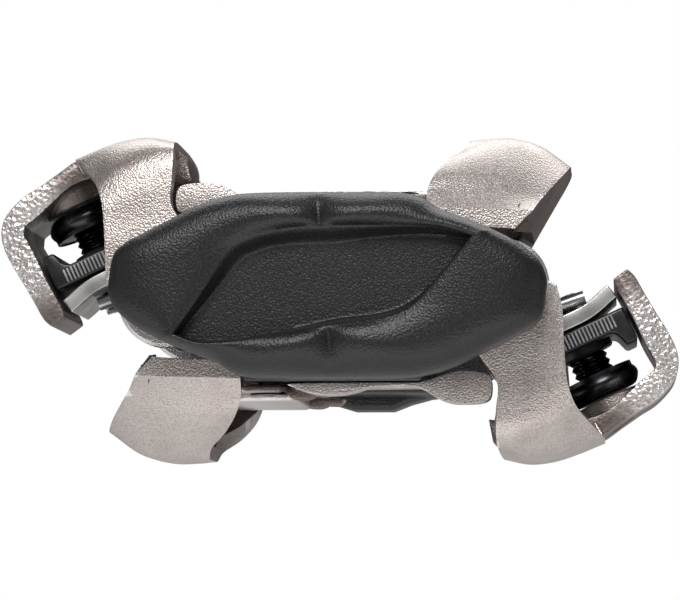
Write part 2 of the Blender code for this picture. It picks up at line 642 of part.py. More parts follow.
def make_binding(side, frame, looks):
    pivot = Vector((PIVOT_X, 0, PIVOT_Z))
    binding = casting(f"{side}_rear_binding", BINDING_ROWS, frame, looks["cast_steel"], BINDING_WALL, pivot)
    join(binding, prism("strap", in_metres(STRAP_OUTLINE), -STRAP_HALF_WIDTH, STRAP_HALF_WIDTH))
    join(binding, prism("nose", in_metres(NOSE_OUTLINE), -NOSE_HALF_WIDTH, NOSE_HALF_WIDTH))
    seat = -BOLT_HEAD_HEIGHT - GAP
    join(binding, rod("seat", BOLT_HEAD_RADIUS - BOLT_SEAT_LIP, along_bolt(seat), along_bolt(seat - 2 * MM)))
    for near, far in ((-CASTING_HALF_WIDTH, -EYE_INNER_Y), (EYE_INNER_Y, CASTING_HALF_WIDTH)):
        join(binding, rod("eye", EYE_RADIUS, pivot + Vector((0, near, 0)), pivot + Vector((0, far, 0))))
    reach = Vector((0, CASTING_HALF_WIDTH + 1 * MM, 0))
    cut(binding, rod("pin_hole", PIN_RADIUS + GAP, pivot - reach, pivot + reach))
    ends = (along_bolt(seat + 1 * MM), along_bolt(-KEY_HOLE_REACH))
    cut(binding, rod("key_hole", KEY_HOLE_RADIUS, *ends, 20))
    body_clear = BARREL_RADIUS + 2 * GAP
    cut(binding, rod("barrel_clear", body_clear, -reach, reach))


def make_pin(side, frame, looks):
    end = WING_INNER_Y + PIN_DEPTH_IN_WING
    pivot = Vector((PIVOT_X, 0, PIVOT_Z))
    reach = Vector((0, end, 0))
    add(f"{side}_pivot_pin", rod("pin", PIN_RADIUS, pivot - reach, pivot + reach, 28), frame,
        looks["spring_steel"], origin=pivot)


def spring_path():
    """The spring's wire as points (x, y, z) about the pin, for the spring on the +Y side."""
    coil_radius = PIN_RADIUS + SPRING_CLEARANCE + WIRE_RADIUS
    start = SPRING_ARM_ANGLE
    # The last stretch runs tangent to the barrel, just clear of it.
    pivot = Vector((PIVOT_X, PIVOT_Z))
    clear = BARREL_RADIUS + GAP + WIRE_RADIUS + SPRING_REST_CLEARANCE
    end = math.atan2(-PIVOT_Z, -PIVOT_X) + math.acos((coil_radius + clear) / pivot.length)
    turns = SPRING_TURNS + (start - end) / (2 * math.pi)
    steps = round(turns * 12)
    points = []
    first = Vector((math.cos(start), math.sin(start))) * coil_radius
    along = Vector((math.sin(start), -math.cos(start)))
    points.append((*(first - along * SPRING_ARM), SPRING_START_Y))
    for i in range(steps + 1):
        angle = start - turns * 2 * math.pi * i / steps
        y = SPRING_START_Y + SPRING_PITCH * turns * i / steps
        points.append((coil_radius * math.cos(angle), coil_radius * math.sin(angle), y))
    last = Vector((math.cos(end), math.sin(end))) * coil_radius
    leaving = Vector((math.sin(end), -math.cos(end)))
    tail = math.sqrt(pivot.length_squared - (coil_radius + clear) ** 2)
    points.append((*(last + leaving * tail), points[-1][2]))
    return [Vector((x, y, z)) for x, z, y in points]


def make_springs(side, frame, looks):
    pivot = Vector((PIVOT_X, 0, PIVOT_Z))
    for place, hand in (("outboard", -1), ("inboard", 1)):
        name = f"{side}_torsion_spring_{place}"
        curve = bpy.data.curves.new(name, "CURVE")
        curve.dimensions = "3D"
        curve.bevel_depth = WIRE_RADIUS
        curve.bevel_resolution = 2
        curve.use_fill_caps = True
        spline = curve.splines.new("POLY")
        path = spring_path()
        spline.points.add(len(path) - 1)
        for point, place_on in zip(spline.points, path):
            point.co = (place_on.x, place_on.y * hand, place_on.z, 1)
        curve.materials.append(looks["spring_steel"])
        obj = bpy.data.objects.new(name, curve)
        obj.location = pivot
        obj.parent = frame
        PARTS.objects.link(obj)


def make_adjusting_bolt(side, frame, looks):
    top = -BOLT_HEAD_HEIGHT
    chamfer = 0.7 * MM
    profile = [
        (0, BOLT_LENGTH),
        (0, top),
        (BOLT_HEAD_RADIUS - chamfer, top),
        (BOLT_HEAD_RADIUS, top + chamfer),
        (BOLT_HEAD_RADIUS, -0.3 * MM),
        (BOLT_HEAD_RADIUS - 0.3 * MM, 0),
        (BOLT_RADIUS, 0),
        (BOLT_RADIUS, BOLT_LENGTH - 0.5 * MM),
        (BOLT_RADIUS - 0.5 * MM, BOLT_LENGTH),
    ]
    bolt = turned(f"{side}_adjusting_bolt", profile, frame, looks["black_steel"], 36, BOLT_ANCHOR, BOLT_AXIS)
    cut(bolt, hexagon("drive", BOLT_HEX_FLATS, along_bolt(top + 2 * MM), along_bolt(top - 1 * MM)))


def make_adjusting_nut(side, frame, looks):
    name = f"{side}_adjusting_nut"
    foot = 1.6 * MM
    far = NUT_DISTANCE + NUT_THICKNESS
    bar = [
        (NUT_DISTANCE, NUT_FRONT),
        (far, NUT_FRONT),
        (far, -NUT_REAR),
        (NUT_DISTANCE - 2.4 * MM, -NUT_REAR),
        (NUT_DISTANCE - 2.4 * MM, -NUT_REAR + foot),
        (NUT_DISTANCE, -NUT_REAR + foot + 0.8 * MM),
    ]
    mesh = prism(name, bolt_outline(bar), -NUT_HALF_WIDTH, NUT_HALF_WIDTH)
    nut = add(name, mesh, frame, looks["black_plastic"], origin=along_bolt(NUT_DISTANCE))
    round_edges(nut, 0.35 * MM, segments=1)
    collar = NUT_DISTANCE - 1.1 * MM
    join(nut, rod("collar", BOLT_RADIUS + 1.3 * MM, along_bolt(collar), along_bolt(far - MM), 28))
    ends = (along_bolt(collar - 1 * MM), along_bolt(far + 1 * MM))
    cut(nut, rod("thread", BOLT_RADIUS + GAP, *ends, 28))


def make_spring_plate(side, frame, looks):
    """The bent plate under the nut, which the spring legs push on."""
    name = f"{side}_spring_plate"
    near = NUT_DISTANCE + NUT_THICKNESS + GAP
    far = near + SPRING_PLATE_THICKNESS
    lean = Vector((math.sin(SPRING_PLATE_BEND_ANGLE), -math.cos(SPRING_PLATE_BEND_ANGLE)))
    leg = lean * SPRING_PLATE_LEG
    square = Vector((-lean.y, lean.x)) * SPRING_PLATE_THICKNESS
    inner_bend = Vector((near, -SPRING_PLATE_BEND - 0.4 * MM))
    tip = inner_bend + leg
    outline = [
        (near, NUT_FRONT),
        (far, NUT_FRONT),
        (far, -SPRING_PLATE_BEND),
        tuple(tip + square),
        tuple(tip),
        tuple(inner_bend),
    ]
    mesh = prism(name, bolt_outline(outline), -NUT_HALF_WIDTH, NUT_HALF_WIDTH)
    plate = add(name, mesh, frame, looks["cast_steel"], origin=along_bolt(near))
    ends = (along_bolt(near - 1 * MM), along_bolt(far + 1 * MM))
    cut(plate, rod("hole", BOLT_RADIUS + GAP, *ends, 28))


clear_scene()
PARTS = collection("clipless_pedal")
HELPERS = collection("cutters_and_guides", helpers=True)


def main():
    looks = make_materials()
    middle = empty("pedal_frame", location=(0, -CRANK_DISTANCE, 0))
    make_axle(middle, looks)
    make_cone_and_lock_nut(middle, looks)
    make_ball_ring("ball_ring_inner", INNER_BALL_Y, middle, looks)
    make_ball_ring("ball_ring_outer", OUTER_BALL_Y, middle, looks)
    make_sleeve_and_bush(middle, looks)
    make_lock_bolt_and_seal(middle, looks)
    make_body(middle, looks)
    for side, turn in (("upper", 0), ("lower", math.pi)):
        frame = empty(f"{side}_side", parent=middle, turn=turn)
        make_claw(side, frame, looks)
        make_claw_screws(side, frame, looks)
        make_binding(side, frame, looks)
        make_pin(side, frame, looks)
        make_springs(side, frame, looks)
        make_adjusting_bolt(side, frame, looks)
        make_adjusting_nut(side, frame, looks)
        make_spring_plate(side, frame, looks)


main()
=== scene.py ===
import math

import bmesh
import bpy
import numpy as np
from mathutils import Matrix, Vector


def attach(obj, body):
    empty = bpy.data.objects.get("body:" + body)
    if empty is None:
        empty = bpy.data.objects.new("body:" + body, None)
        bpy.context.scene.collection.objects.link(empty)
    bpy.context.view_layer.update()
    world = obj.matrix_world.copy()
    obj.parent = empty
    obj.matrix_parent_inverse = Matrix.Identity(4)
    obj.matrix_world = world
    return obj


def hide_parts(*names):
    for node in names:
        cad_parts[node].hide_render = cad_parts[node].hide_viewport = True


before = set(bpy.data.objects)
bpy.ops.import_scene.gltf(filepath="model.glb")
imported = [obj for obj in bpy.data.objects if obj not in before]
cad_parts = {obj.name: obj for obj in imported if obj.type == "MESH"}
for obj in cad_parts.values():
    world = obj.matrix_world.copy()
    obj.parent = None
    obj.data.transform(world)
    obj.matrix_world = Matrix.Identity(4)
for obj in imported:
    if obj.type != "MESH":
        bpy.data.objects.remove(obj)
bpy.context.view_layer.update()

# All shapes are drawn in millimetres about the middle of the cleat seat, on the axle:
# x towards the toe of the upper side, y along the axle towards the crank, z up.
mm = 0.001
seatMiddle = (0, -0.055, 0)
middle = Matrix.Translation(seatMiddle)
sides = {"upper": middle, "lower": middle @ Matrix.Rotation(math.pi, 4, "Y")}
print("frame loaded")


class Value:  # a socket that can stand in sums
    def __init__(self, graph, socket):
        self.graph = graph
        self.socket = socket

    def math(self, operation, first, second):
        return self.graph.node("ShaderNodeMath", {"operation": operation}, {0: first, 1: second})

    def __add__(self, other):
        return self.math("ADD", self, other)

    def __radd__(self, other):
        return self.math("ADD", other, self)

    def __sub__(self, other):
        return self.math("SUBTRACT", self, other)

    def __rsub__(self, other):
        return self.math("SUBTRACT", other, self)

    def __mul__(self, other):
        return self.math("MULTIPLY", self, other)

    def above(self, low, high):  # 0 below low, 1 above high, smooth between
        settings = {"interpolation_type": "SMOOTHSTEP"}
        return self.graph.node("ShaderNodeMapRange", settings, {0: self, 1: low, 2: high})


class Graph:
    def __init__(self, tree):
        self.tree = tree

    def node(self, kind, settings=None, values=None, out=0):
        made = self.tree.nodes.new(kind)
        for key, value in (settings or {}).items():
            setattr(made, key, value)
        for key, value in (values or {}).items():
            if isinstance(value, Value):
                self.tree.links.new(value.socket, made.inputs[key])
            else:
                made.inputs[key].default_value = value
        return Value(self, made.outputs[out]) if made.outputs else None

    def blend(self, factor, first, second):  # a colour between two
        return self.node("ShaderNodeMix", {"data_type": "RGBA"}, {0: factor, 6: first, 7: second}, 2)


class Finish(Graph):  # a material and its main shader
    def __init__(self, name, **fixed):
        self.material = bpy.data.materials.new(name)
        self.material.use_nodes = True
        super().__init__(self.material.node_tree)
        self.shader = self.tree.nodes["Principled BSDF"]
        for key, value in fixed.items():
            self.shader.inputs[key.replace("_", " ")].default_value = value

    def feed(self, key, value):
        self.tree.links.new(value.socket, self.shader.inputs[key])

    def places(self):  # object coordinates in millimetres
        here = self.node("ShaderNodeTexCoord", out=3)
        return self.node("ShaderNodeVectorMath", {"operation": "SCALE"}, {0: here, "Scale": 1 / mm})

    def grains(self, size, detail=2.0, rough=0.5):
        return self.node("ShaderNodeTexNoise", {}, {
            "Vector": self.places(), "Scale": 1 / size, "Detail": detail, "Roughness": rough})

    def edges(self):  # how sharply the surface turns outwards
        return self.node("ShaderNodeNewGeometry", out=7)

    def bumps(self, height, depth):
        made = self.node("ShaderNodeBump", {}, {"Height": height, "Distance": depth * mm, "Strength": 1.0})
        self.feed("Normal", made)


castLook = {"pale": (0.67, 0.61, 0.58, 1), "brown": (0.40, 0.34, 0.315, 1), "worn": (0.93, 0.91, 0.90, 1),
            "grain": 0.25, "grainDepth": 0.085, "roughness": 0.30}
# painted shade: a darker, browner copy of the cast steel for inner faces, undersides and parts deep behind the
# flanks, where shade falls
paintedShadeLook = dict(castLook, pale=(0.23, 0.185, 0.17, 1), brown=(0.10, 0.077, 0.068, 1), worn=(0.45, 0.40, 0.38, 1),
                  roughness=0.38)
# a chipped corner on the strap: where its middle is, how many chips to the millimetre, and the colour away from it, a
# painted brown shade for the strap's ends
chippedCorner = {"middle": (-45, -10.5, 8), "scale": 1.7, "away": (0.20, 0.155, 0.14, 1)}


def makeCastSteel(name, look, chips=0.0):
    made = Finish(name, Metallic=1.0)
    grain = made.grains(look["grain"], 2.0, 0.6)
    patches = made.grains(5.5, 3.0, 0.55)
    tone = patches.above(0.2, 0.6) * 0.35 + grain.above(0.30, 0.60) * 0.65
    colour = made.blend(tone, look["brown"], look["pale"])
    edge = made.edges().above(0.53, 0.60)
    pebble = made.node("ShaderNodeTexVoronoi", {"feature": "SMOOTH_F1"},
                       {"Vector": made.places(), "Scale": 1 / look["grain"], "Smoothness": 0.5})
    height = grain * 0.35 - pebble * 0.65
    if chips:
        chip = made.node("ShaderNodeTexVoronoi", {"feature": "SMOOTH_F1"},
                         {"Vector": made.places(), "Scale": chippedCorner["scale"], "Smoothness": 0.5})
        height = grain * 0.4 + chip * chips
        edge = edge * 0.4 + chip.above(0.22, 0.55) * 0.6
        # the corner of the strap is bright and chipped, its two ends are smoother and carry a painted brown shade
        away = made.node("ShaderNodeVectorMath", {"operation": "DISTANCE"},
                         {0: made.places(), 1: chippedCorner["middle"]}, 1)
        colour = made.blend(away.above(6.5, 12.0), colour, chippedCorner["away"])
        edge = edge * (1 - away.above(6.0, 10.5) * 0.85)
        height = height * (1 - away.above(6.0, 10.5) * 0.6)
    made.feed("Base Color", made.blend(edge, colour, look["worn"]))
    made.feed("Roughness", look["roughness"] + grain * 0.16 + patches * 0.06 - edge * 0.12)
    made.bumps(height, look["grainDepth"])
    return made.material


paintLook = {"colour": (0.0028, 0.0029, 0.0034, 1), "dust": (0.006, 0.0062, 0.0078, 1), "grain": 0.30,
             "grainDepth": 0.055, "roughness": 0.33}


def makeBlackPaint():
    look = paintLook
    made = Finish("blackPaint", Specular_IOR_Level=0.62)
    pebble = made.node("ShaderNodeTexVoronoi", {"feature": "SMOOTH_F1"},
                       {"Vector": made.places(), "Scale": 1 / look["grain"], "Smoothness": 0.6})
    fine = made.grains(0.22, 2.0, 0.6)
    broad = made.grains(9.0, 2.0, 0.5)
    made.feed("Base Color", made.blend(pebble.above(0.30, 0.62), look["dust"], look["colour"]))
    made.feed("Roughness", look["roughness"] + fine * 0.12 + broad * 0.06)
    made.bumps(fine * 0.7 - pebble, look["grainDepth"])
    return made.material


def makeSmoothMetal(name, colour, roughness, grainDepth=0.004, worn=(0.9, 0.9, 0.9, 1)):
    made = Finish(name, Metallic=1.0)
    fine = made.grains(0.18, 3.0, 0.6)
    broad = made.grains(3.2, 2.0, 0.5)
    edge = made.edges().above(0.53, 0.62) * 0.5
    dull = tuple(c * 0.72 for c in colour[:3]) + (1,)
    made.feed("Base Color", made.blend(edge, made.blend(broad.above(0.35, 0.65), dull, colour), worn))
    made.feed("Roughness", roughness + fine * 0.08 + broad * 0.05)
    made.bumps(fine, grainDepth)
    return made.material


def makePlastic(name, colour, roughness):
    made = Finish(name)
    fine = made.grains(0.25, 3.0, 0.6)
    broad = made.grains(2.5, 2.0, 0.5)
    paler = tuple(min(1.0, c * 2.2 + 0.006) for c in colour[:3]) + (1,)
    made.feed("Base Color", made.blend(broad.above(0.35, 0.75) * 0.6, colour, paler))
    made.feed("Roughness", roughness + fine * 0.16)
    made.bumps(fine, 0.012)
    return made.material


castSteel = makeCastSteel("castSteel", castLook)
# the darker cast steel is painted shade, not a different metal
paintedShadeSteel = makeCastSteel("paintedShadeCastSteel", paintedShadeLook)
castEdge = makeCastSteel("roughCastEdge", dict(castLook, grainDepth=0.16), chips=0.9)
blackPaint = makeBlackPaint()
blackSteel = makeSmoothMetal("blackSteel", (0.055, 0.056, 0.062, 1), 0.20, worn=(0.16, 0.165, 0.18, 1))
brightSteel = makeSmoothMetal("brightSteel", (0.66, 0.64, 0.62, 1), 0.30, 0.012)
spindleSteel = makeSmoothMetal("spindleSteel", (0.50, 0.50, 0.51, 1), 0.22)
bearingSteel = makeSmoothMetal("bearingSteel", (0.66, 0.67, 0.68, 1), 0.12)
springSteel = makeSmoothMetal("springSteel", (0.34, 0.34, 0.35, 1), 0.26)
blackPlastic = makePlastic("blackPlastic", (0.009, 0.009, 0.010, 1), 0.26)
# painted highlight: the nut's ribs are lighter grey where the black plastic catches light
ribHighlightPlastic = makePlastic("paintedHighlightRibs", (0.24, 0.24, 0.25, 1), 0.22)
greyPlastic = makePlastic("greyPlastic", (0.10, 0.10, 0.11, 1), 0.38)
rubber = makePlastic("rubber", (0.012, 0.012, 0.012, 1), 0.55)
print("finishes made")


def through(points, steps, sharp=()):  # a smooth line through the points, with corners at sharp
    points = np.asarray(points, float)
    ends = [0, *sorted(sharp), len(points) - 1]
    line = []
    for start, stop in zip(ends, ends[1:]):
        run = points[start:stop + 1]
        run = np.concatenate([[2 * run[0] - run[1]], run, [2 * run[-1] - run[-2]]])
        for i in range(stop - start):
            before, here, there, after = run[i:i + 4]
            for t in np.arange(steps) / steps:
                line.append(0.5 * (2 * here + (there - before) * t
                                   + (2 * before - 5 * here + 4 * there - after) * t * t
                                   + (3 * here - before - 3 * there + after) * t ** 3))
    line.append(points[-1])
    return np.array(line)


def ringThrough(points, steps, sharp=()):  # the same round a closed outline
    points = np.asarray(points, float)
    if sharp:
        points = np.roll(points, -sharp[0], axis=0)
        corners = [i - sharp[0] for i in sharp[1:]]
        return through(np.concatenate([points, points[:1]]), steps, corners)[:-1]
    padded = np.concatenate([points[-3:], points, points[:4]])
    return through(padded, steps)[3 * steps:(3 + len(points)) * steps]


def halfTurned(outline):
    return list(outline) + [(-x, -z) for x, z in outline]


def meshOf(name, verts, faces):
    mesh = bpy.data.meshes.new(name)
    mesh.from_pydata([tuple(float(c) * mm for c in v) for v in verts], [], faces)
    return mesh


def gridMesh(name, grid, closed=False):  # rows of points; closed joins each row's end to its start
    rows, columns = grid.shape[:2]
    faces = []
    for r in range(rows - 1):
        for c in range(columns if closed else columns - 1):
            d = (c + 1) % columns
            faces.append((r * columns + c, r * columns + d, (r + 1) * columns + d, (r + 1) * columns + c))
    return meshOf(name, grid.reshape(-1, 3), faces)


def capped(mesh):  # closes the open rings at the ends and turns every face outwards
    bm = bmesh.new()
    bm.from_mesh(mesh)
    bmesh.ops.remove_doubles(bm, verts=bm.verts, dist=0.00001 * mm)
    bmesh.ops.holes_fill(bm, edges=bm.edges, sides=0)
    bmesh.ops.recalc_face_normals(bm, faces=bm.faces)
    bm.to_mesh(mesh)
    bm.free()
    return mesh


def ringsMesh(name, rings):  # rings of points joined into a skin with closed ends
    return capped(gridMesh(name, np.array(rings), closed=True))


def prism(name, outline, low, high):  # an outline (x, z) drawn out along y
    count = len(outline)
    verts = [(x, low, z) for x, z in outline] + [(x, high, z) for x, z in outline]
    faces = [tuple(range(count)), tuple(range(2 * count - 1, count - 1, -1))]
    faces += [(i, count + i, count + (i + 1) % count, (i + 1) % count) for i in range(count)]
    return capped(meshOf(name, verts, faces))


def lying(name, plan, low, high):  # an outline (x, y) drawn up along z
    mesh = prism(name, plan, low, high)
    mesh.transform(Matrix(((1, 0, 0, 0), (0, 0, 1, 0), (0, 1, 0, 0), (0, 0, 0, 1))))
    return capped(mesh)


def turned(name, profile, segments, notch=None):  # (radius, along y) swept round the y axis
    rows = []
    for radius, along in profile:
        angles = np.arange(segments) * 2 * math.pi / segments
        reach = np.array([notch(a, radius, along) if notch else radius for a in angles])
        rows.append(np.stack([reach * np.cos(angles), np.full(segments, along), reach * np.sin(angles)], 1))
    return ringsMesh(name, rows)


def rod(radius, low, high, segments):  # a plain round bar along y
    return turned("rod", [(0.02, low), (radius, low), (radius, high), (0.02, high)], segments)


def hexagon(flats):  # its corners, from its width across the flats
    reach = flats / math.sqrt(3)
    return [(reach * math.cos(a), reach * math.sin(a)) for a in np.arange(6) * math.pi / 3]


def screwed(name, radius, low, high, pitch, depth, segments, bevel=0.6):  # a threaded rod along y
    rows = []
    for along in np.arange(low, high + 1e-6, pitch / 8):
        angles = np.arange(segments) * 2 * math.pi / segments
        phase = (along / pitch - angles / (2 * math.pi)) % 1
        groove = depth * (1 - np.abs(2 * phase - 1) ** 0.8)
        ends = min(1.0, (along - low) / bevel + 0.15, (high - along) / bevel + 0.15)
        reach = radius - groove - depth * 1.2 * (1 - ends)
        rows.append(np.stack([reach * np.cos(angles), np.full(segments, along), reach * np.sin(angles)], 1))
    return ringsMesh(name, rows)


def tube(name, path, radius, segments=14):  # a round wire along a path
    path = np.asarray(path, float)
    rows = []
    ahead = np.gradient(path, axis=0)
    ahead /= np.linalg.norm(ahead, axis=1)[:, None]
    across = np.cross(ahead[0], (0.3, 0.5, 0.8))
    for here, way in zip(path, ahead):
        across = across - way * across.dot(way)
        across /= np.linalg.norm(across)
        other = np.cross(way, across)
        angles = np.arange(segments) * 2 * math.pi / segments
        rows.append(here + radius * (np.cos(angles)[:, None] * across + np.sin(angles)[:, None] * other))
    return ringsMesh(name, rows)


def along(direction, origin):  # turns a shape made along y to lie along a direction
    turn = Vector((0, 1, 0)).rotation_difference(Vector(direction)).to_matrix().to_4x4()
    return Matrix.Translation(Vector(origin) * mm) @ turn


def placed(mesh, matrix):
    mesh.transform(matrix)
    return mesh


def objectOf(name, mesh):
    made = bpy.data.objects.new(name, mesh)
    bpy.context.scene.collection.objects.link(made)
    return made


def rounding(obj, width, segments, angle):
    step = obj.modifiers.new("rounding", "BEVEL")
    step.width = width * mm
    step.segments = segments
    step.limit_method = "ANGLE"
    step.angle_limit = math.radians(angle)
    step.miter_outer = "MITER_ARC"


def carve(obj, mesh):  # cuts the mesh out of the object once it settles
    helper = objectOf("cutter", mesh)
    step = obj.modifiers.new("carve", "BOOLEAN")
    step.operation = "DIFFERENCE"
    step.solver = "EXACT"
    step.object = helper
    return helper


def settled(obj, *helpers):  # the mesh with its modifiers applied; helpers are thrown away
    bpy.context.view_layer.update()
    seen = obj.evaluated_get(bpy.context.evaluated_depsgraph_get())
    mesh = bpy.data.meshes.new_from_object(seen)
    for gone in (obj, *helpers):
        bpy.data.objects.remove(gone)
    return mesh


def rounded(mesh, width, segments, angle=35):
    obj = objectOf("work", mesh)
    rounding(obj, width, segments, angle)
    return settled(obj)


def piece(name, parts, body, nodes, frameMatrix=middle, crease=32):
    # parts are (mesh, outer finish, inner finish); they become one object that rides on the body
    bm = bmesh.new()
    materials = []
    for mesh, *looks in parts:
        materials += [look for look in looks if look not in materials]
        start = len(bm.faces)
        bm.from_mesh(mesh)
        bm.faces.ensure_lookup_table()
        for face in bm.faces[start:]:
            face.material_index = materials.index(looks[min(face.material_index, len(looks) - 1)])
    mesh = bpy.data.meshes.new(name)
    bm.to_mesh(mesh)
    bm.free()
    for material in materials:
        mesh.materials.append(material)
    mesh.shade_smooth()
    mesh.set_sharp_from_angle(angle=math.radians(crease))
    made = objectOf(name, mesh)
    made.matrix_world = frameMatrix
    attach(made, body)
    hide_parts(*nodes)


body = {
    "halfWidth": 31.0, "wingThickness": 9.8, "barrelRadius": 11.5, "rimDrop": 3.4, "panelDepth": 2.6,
    "bulge": 2.0, "valleyWidth": 2.7, "steps": 10, "bore": 8.6, "narrowBore": 7.4, "boreSeat": -11.8,
    "pocketRadius": 8.2, "pocketDepth": 7.0, "wingShift": (-0.4, 0, 0.55),
    "outline": [
        (-29.4, 0.2), (-28.7, 4.1), (-26.9, 5.9), (-25.2, 6.8), (-20.9, 9.0), (-17.4, 10.7), (-13.5, 11.9),
        (-8.8, 12.4), (6.9, 12.4), (10.8, 12.2), (13.1, 11.5), (15.3, 10.1), (19.8, 8.4), (24.5, 6.2),
        (26.8, 4.7), (28.6, 2.9), (29.4, 1.0)],
    "hump": [(-13.2, 11.8), (-8.4, 13.1), (-5.8, 14.1), (-0.2, 14.1), (2.4, 13.3), (10.5, 13.0), (12.6, 11.8)],
    # the panel's outline (x, z) and how wide its sloping wall is there
    "panel": [
        (-20.1, -6.7, 0.35), (-16.6, -1.0, 1.7), (-13.8, 4.1, 2.9), (-11.5, 5.7, 3.0), (-8.4, 6.8, 2.8),
        (-2.9, 7.6, 2.5), (6.0, 7.7, 2.3), (14.7, 7.4, 1.7), (19.4, 6.2, 0.3), (14.7, 0.2, 0.5),
        (12.0, -2.9, 1.3), (8.8, -4.5, 1.6), (4.1, -5.3, 1.3), (-6.8, -6.7, 0.7), (-15.8, -7.8, 0.4)],
}


def reachOf(line, angles):  # how far the outline is from the middle in each direction
    turn = np.arctan2(line[:, 1], line[:, 0])
    order = np.argsort(turn)
    turn, far = turn[order], np.hypot(line[:, 0], line[:, 1])[order]
    turn = np.concatenate([turn[-3:] - 2 * math.pi, turn, turn[:3] + 2 * math.pi])
    far = np.concatenate([far[-3:], far, far[:3]])
    return np.interp(angles, turn, far)


def outboardWing():
    look = body
    outline = ringThrough(halfTurned(look["outline"]), look["steps"])
    panel = ringThrough(look["panel"], 12, (0, 8))
    corners = [math.atan2(z, x) for x, z, _ in (look["panel"][0], look["panel"][8])]
    angles = np.sort(np.concatenate([np.linspace(-math.pi, math.pi, 540, endpoint=False), corners]))
    rim = reachOf(outline, angles)
    edge = reachOf(panel, angles)
    turnOfPanel = np.arctan2(panel[:, 1], panel[:, 0])
    order = np.argsort(turnOfPanel)
    wall = np.interp(angles, turnOfPanel[order], panel[order, 2], period=2 * math.pi)
    way = np.stack([np.cos(angles), np.sin(angles)], 1)
    face = -look["halfWidth"]

    def ring(reach, depth):
        spot = way * np.asarray(reach)[:, None]
        return np.stack([spot[:, 0], face + np.asarray(depth) * np.ones(len(angles)), spot[:, 1]], 1)

    band = rim - edge
    x = way[:, 0] * (edge + band * 0.45)
    upper = way[:, 1] > 0
    valley = np.exp(-np.sqrt((x - np.where(upper, -0.9, 0.6)) ** 2 + 0.1) / look["valleyWidth"])
    high = look["bulge"] * (1 - 1.15 * valley) * (0.3 + 0.7 * np.exp(-(x / 9.5) ** 2))
    rings = []
    for share in (0.02, 0.15, 0.3, 0.45, 0.6, 0.72, 0.84, 0.93, 1.0):  # the panel's floor
        rings.append(ring((edge - wall) * share, look["panelDepth"] * np.ones(len(angles))))
    for share in (0.06, 0.2, 0.35, 0.5, 0.65, 0.8, 0.92):  # its sloping wall
        eased = share * share * (3 - 2 * share)
        rings.append(ring(edge - wall * (1 - share), look["panelDepth"] * (1 - eased)))
    for share in np.linspace(0, math.pi / 2, 30):  # the soft bulging band and the rounded rim
        across = math.sin(share)
        lift = high * math.sin(math.pi * across ** 0.66) ** 1.15
        drop = look["rimDrop"] * (1 - np.sqrt(np.maximum(0, 1 - across ** (1.8 + 0.3 * band))))
        rings.append(ring(edge + band * across, drop - lift))
    deep = look["wingThickness"]
    for inset, depth in ((0, deep - 3.5), (0, deep - 1.2), (0.35, deep - 0.35), (1.2, deep), (6, deep)):
        rings.append(ring(rim - inset, depth * np.ones(len(angles))))
    pocket, floor = look["pocketRadius"], look["pocketDepth"]
    for reach, depth in ((pocket, deep), (pocket, floor), (0.5, floor)):  # the pocket for the end of the axle
        rings.append(ring(np.full(len(angles), reach), depth * np.ones(len(angles))))
    return ringsMesh("outboardWing", rings)


def inboardWing():
    look = body
    outline = ringThrough(halfTurned(look["outline"]), 6)
    angles = np.linspace(-math.pi, math.pi, 288, endpoint=False)
    rim = reachOf(outline, angles)
    way = np.stack([np.cos(angles), np.sin(angles)], 1)
    low, high = look["halfWidth"] - look["wingThickness"], look["halfWidth"]
    bore = np.full(len(angles), look["bore"])
    rings = []
    for reach, y in ((bore, low), (rim - 1.4, low), (rim - 0.4, low + 0.4), (rim, low + 1.4), (rim, high - 1.4),
                     (rim - 0.4, high - 0.4), (rim - 1.4, high), (bore, high), (bore, low)):
        spot = way * np.asarray(reach)[:, None]
        rings.append(np.stack([spot[:, 0], np.full(len(angles), y), spot[:, 1]], 1))
    return ringsMesh("inboardWing", rings)


def makeBody():
    look = body
    inner = look["halfWidth"] - look["wingThickness"]
    narrow, seat = look["narrowBore"], look["boreSeat"]
    barrel = turned("barrel", [(narrow, -inner - 2), (narrow, seat), (look["bore"], seat), (look["bore"], inner + 2),
                               (look["barrelRadius"], inner + 2), (look["barrelRadius"], -inner - 2),
                               (narrow, -inner - 2)], 128)
    wing = placed(outboardWing(), Matrix.Translation(Vector(look["wingShift"]) * mm))
    parts = [(wing, blackPaint), (inboardWing(), blackPaint), (barrel, blackPaint)]
    for sign in (1, -1):
        closed = [(sign * x, sign * z) for x, z in list(look["hump"]) + [(12.0, 10.0), (-12.6, 10.0)]]
        parts.append((rounded(prism("hump", closed, inner + 1, look["halfWidth"] - 1), 0.8, 4), blackPaint))
        for low, high in ((-inner - 1, -13.6), (13.6, inner + 1)):
            block = [(-12.1, 8.0), (12.1, 8.0), (12.1, 12.0), (-12.1, 12.0)]
            block = [(x, sign * z) for x, z in block]
            parts.append((rounded(prism("rib", block, low, high), 0.5, 2), blackPaint))
    piece("bodyCasting", parts, "pedal", ["pedal_body"], crease=40)


makeBody()
print("body made")


